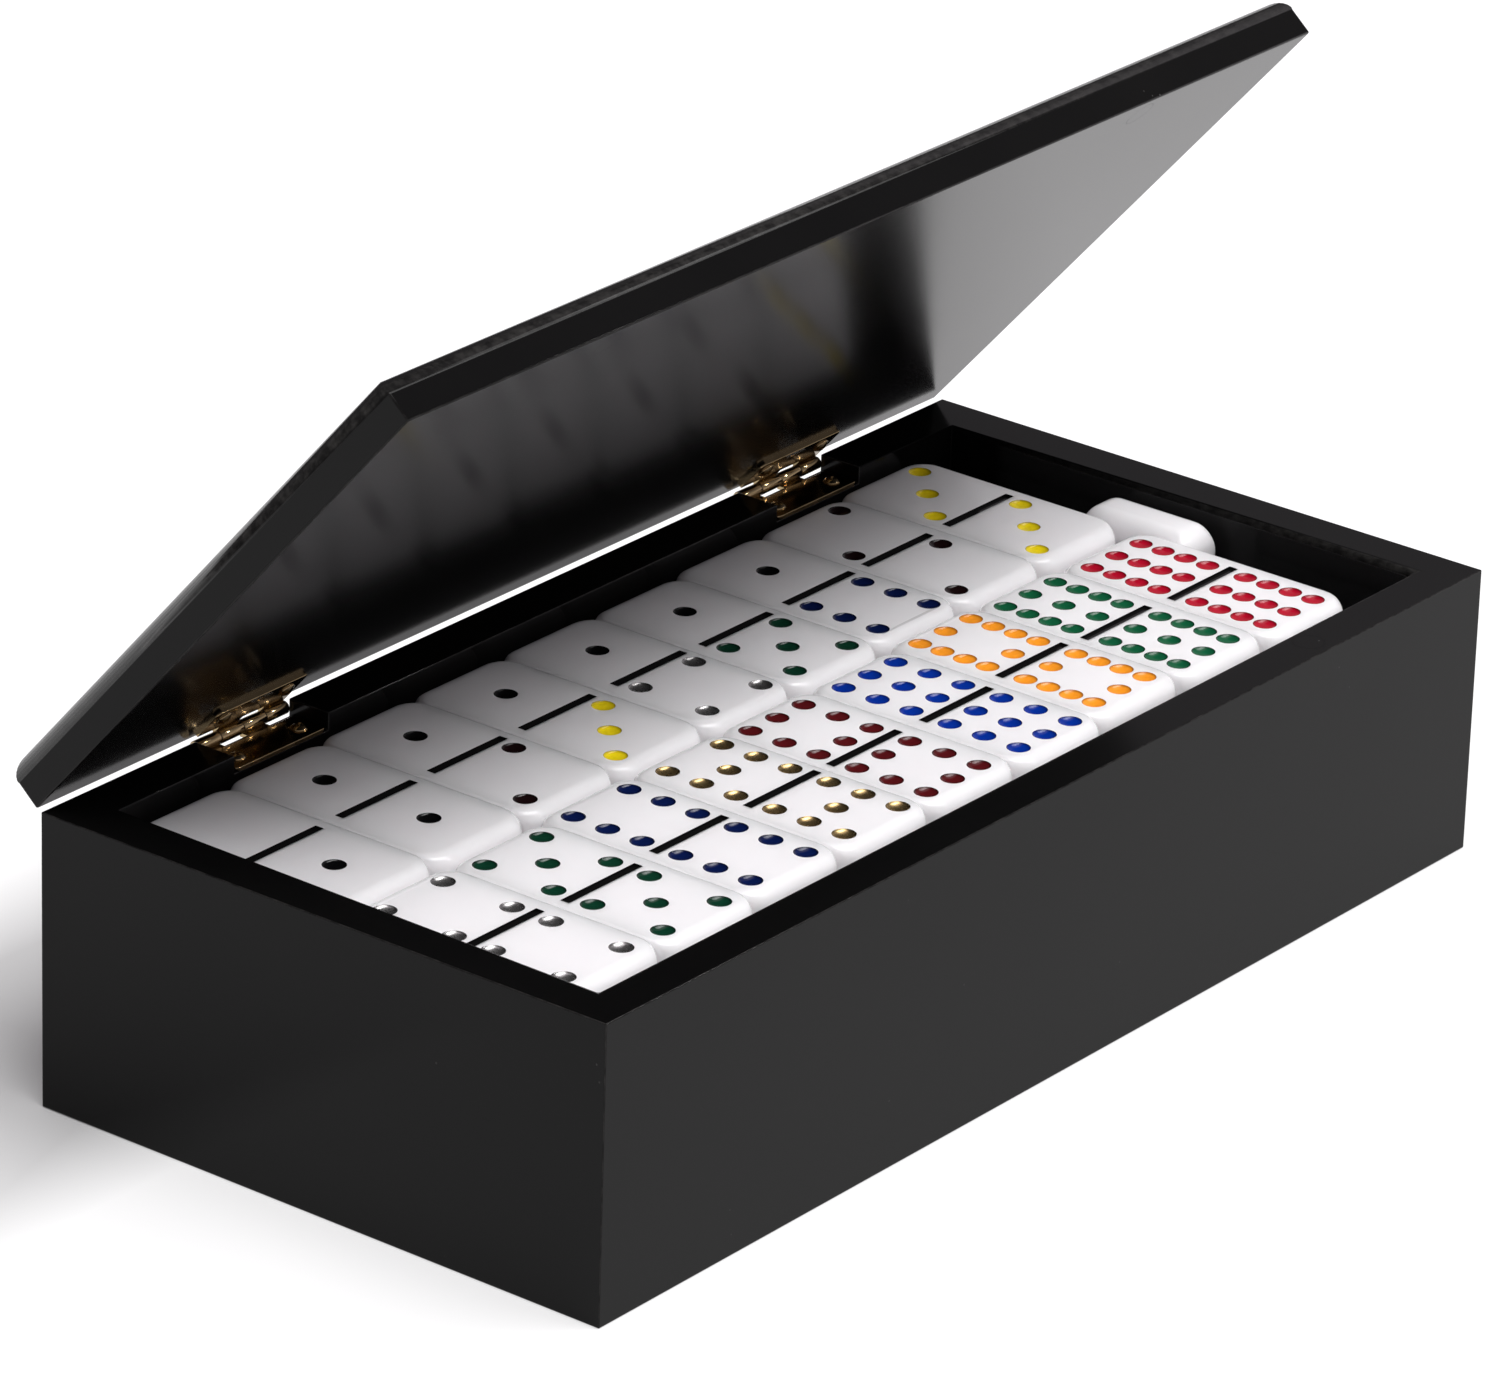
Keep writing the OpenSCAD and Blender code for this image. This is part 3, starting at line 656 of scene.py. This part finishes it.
def dominoCuts(back, front, offX, offY):
    # each pip is the bottom of a flat ball whose middle lies a little above the face;
    # materials 1 and 2 are the paints of the two halves, and 3 is the groove's
    lift = pip["round"] * sqrt(1 - (pip["radius"] / pip["wide"]) ** 2)
    top = domino["thick"]
    bm = bmesh.new()
    for number, halfY, index in ((back, pip["half"], 1), (front, -pip["half"], 2)):
        for px, py in pipPlaces(number):
            made = bmesh.ops.create_uvsphere(bm, u_segments=pip["around"], v_segments=pip["rings"],
                                             radius=pip["wide"] * mm)["verts"]
            bmesh.ops.scale(bm, vec=(1, 1, pip["round"] / pip["wide"]), verts=made)
            high = [v for v in made if v.co.z > -lift / 3 * mm]
            for face in dict.fromkeys(f for v in made for f in v.link_faces):
                face.smooth = True
                face.material_index = index
            centre = (px * pip["x"] * mm, (halfY + py * pip["y"]) * mm, (top + lift) * mm)
            bmesh.ops.translate(bm, vec=centre, verts=made)
            # the ball ends just above the domino's face
            bmesh.ops.delete(bm, geom=high, context="VERTS")
            made = [v for v in made if v.is_valid]
            rim = [e for v in made for e in v.link_edges if e.is_boundary]
            bmesh.ops.edgeloop_fill(bm, edges=list(dict.fromkeys(rim)))
    size = (groove["length"] * mm, groove["width"] * mm, 2 * groove["deep"] * mm)
    made = block(bm, size, (0, 0, top * mm))
    upright = list(dict.fromkeys(e for v in made for e in v.link_edges
                                 if abs(e.verts[0].co.z - e.verts[1].co.z) > tiny))
    for face in dict.fromkeys(f for v in made for f in v.link_faces):
        face.material_index = 3
    roundEdges(bm, upright, groove["corner"] * mm, groove["cornerSteps"])
    bmesh.ops.translate(bm, vec=(offX * mm, offY * mm, 0), verts=bm.verts)
    bmesh.ops.recalc_face_normals(bm, faces=bm.faces)
    return bm


paints = {number: pipMaterial(number) for number in pipPaint}
paints[0] = paints[1]
for i, (behind, ahead) in enumerate(zip(backRow, frontRow)):
    x = domino["firstX"] + i * domino["pitch"]
    backY = box["width"] / 2 - box["wall"] - behind[2] - domino["length"] / 2
    frontY = backY - ahead[2] - domino["length"]
    for (back, front, _, offX, offY), y in ((behind, backY), (ahead, frontY)):
        label = f"{back}_{front}"
        piece = finishPiece(dominoBlank(), f"tile_{label}",
                            [white, paints[back], paints[front], paints["groove"]],
                            f"domino_{label}_tile", [f"domino_{label}"])
        cutAway(piece, dominoCuts(back, front, offX, offY), "pips")
        piece.data.transform(Matrix.Translation((x * mm, y * mm, domino["topZ"] * mm)))

standing = finishPiece(dominoBlank(), "tile_standing", [white], "upright_domino",
                       ["domino_upright"])
footing = Matrix.Translation((0, domino["length"] / 2 * mm, -domino["thick"] / 2 * mm))
standing.data.transform(Matrix.Translation([v * mm for v in domino["standing"]])
                        @ Matrix.Rotation(-pi / 2, 4, "Z") @ Matrix.Rotation(pi / 2, 4, "X")
                        @ footing)
print("dominoes made")

studio = {"floor": 8, "floorDown": 0.1, "paper": 0.47, "paperGlow": 0.5,
          "tilt": 18, "spread": 32, "sideways": (-19, 0, 19), "power": 3,
          "glintPower": 0.22, "glintSize": 3, "glintFrom": (0.56, -0.6, 0.57)}
# how bright the world is at the horizon in front and far behind, higher up and overhead,
# and between which parts of a direction's y or z it changes
sky = {"tint": (1, 0.94, 0.985), "horizon": 0.85, "farHorizon": 0.12, "horizonY": (0.1, 0.5),
       "front": 0.3, "back": 0.25, "upperY": (-0.6, 0.6), "upperZ": (0.1, 0.4),
       "overhead": 0.7, "overheadZ": (0.75, 0.95)}
# the middle and the half size, in metres, of the shaded strip of paper
shade = {"x": 0.015, "y": 0.085, "halfX": 0.125, "halfY": 0.025, "softX": 0.11, "softY": 0.03}
bm = bmesh.new()
bmesh.ops.create_grid(bm, x_segments=1, y_segments=1, size=studio["floor"])
bmesh.ops.translate(bm, vec=(0, 0, -studio["floorDown"] * mm), verts=bm.verts)
mesh = bpy.data.meshes.new("floor")
bm.to_mesh(mesh)
bm.free()
floor = bpy.data.objects.new("floor", mesh)
scene.collection.objects.link(floor)
floorPaper, tree, shader = newMaterial("floorPaper", {
    "Base Color": rgba([studio["paper"]] * 3), "Roughness": 1, "Specular IOR Level": 0,
    "Emission Color": (1, 1, 1, 1)})
# the paper glows only where it is seen, straight or in a reflection, and lights nothing
rays = addNode(tree, "ShaderNodeLightPath").outputs
seen = maths(tree, "ADD", rays["Is Camera Ray"],
             maths(tree, "ADD", rays["Is Glossy Ray"], rays["Is Transmission Ray"]))
# the strip of paper right behind the box lies in its shade
spot = addNode(tree, "ShaderNodeSeparateXYZ", {0: place(tree)}).outputs
offX = maths(tree, "ABSOLUTE", maths(tree, "SUBTRACT", spot["X"], shade["x"]), 0)
offY = maths(tree, "ABSOLUTE", maths(tree, "SUBTRACT", spot["Y"], shade["y"]), 0)
clear = maths(tree, "MAXIMUM", remap(tree, offX, shade["halfX"], shade["halfX"] + shade["softX"]),
              remap(tree, offY, shade["halfY"], shade["halfY"] + shade["softY"]))
glow = maths(tree, "MULTIPLY", maths(tree, "MULTIPLY", seen, clear), studio["paperGlow"])
tree.links.new(glow, shader.inputs["Emission Strength"])
mesh.materials.append(floorPaper)

world = bpy.data.worlds.new("studio")
scene.world = world
world.use_nodes = True
tree = world.node_tree
direction = addNode(tree, "ShaderNodeTexCoord").outputs["Generated"]
axes = addNode(tree, "ShaderNodeSeparateXYZ", {0: direction}).outputs
upper = remap(tree, axes["Y"], *sky["upperY"], sky["front"], sky["back"])
lower = remap(tree, axes["Y"], *sky["horizonY"], sky["horizon"], sky["farHorizon"])
level = remap(tree, axes["Z"], *sky["upperZ"], lower, upper)
level = maths(tree, "ADD", level, remap(tree, axes["Z"], *sky["overheadZ"], 0, sky["overhead"]))
tree.links.new(level, tree.nodes["Background"].inputs["Strength"])
tree.nodes["Background"].inputs["Color"].default_value = rgba(sky["tint"])

for i, sideways in enumerate(studio["sideways"]):
    softTop = bpy.data.lights.new(f"softTop{i}", "SUN")
    softTop.energy = studio["power"] / len(studio["sideways"])
    softTop.angle = radians(studio["spread"])
    lamp = bpy.data.objects.new(f"softTop{i}", softTop)
    lamp.rotation_euler = (radians(studio["tilt"]), radians(sideways), 0)
    scene.collection.objects.link(lamp)

# a small bare lamp in front, to the right, reaches in under the lid
glint = bpy.data.lights.new("glint", "SUN")
glint.energy = studio["glintPower"]
glint.angle = radians(studio["glintSize"])
glintObject = bpy.data.objects.new("glint", glint)
glintObject.rotation_euler = Vector(studio["glintFrom"]).to_track_quat("Z", "Y").to_euler()
scene.collection.objects.link(glintObject)

view = {"lens": 216.14, "sensor": 36, "far": 50, "at": (-1.18955, -0.90678, 0.71562),
        "turn": (66.233, -1.627, -51.705)}
camera = bpy.data.cameras.new("camera")
camera.sensor_width = view["sensor"]
camera.lens = view["lens"]
camera.clip_end = view["far"]
cameraObject = bpy.data.objects.new("camera", camera)
cameraObject.location = view["at"]
cameraObject.rotation_euler = [radians(v) for v in view["turn"]]
scene.collection.objects.link(cameraObject)
scene.camera = cameraObject
scene.view_settings.view_transform = "Standard"
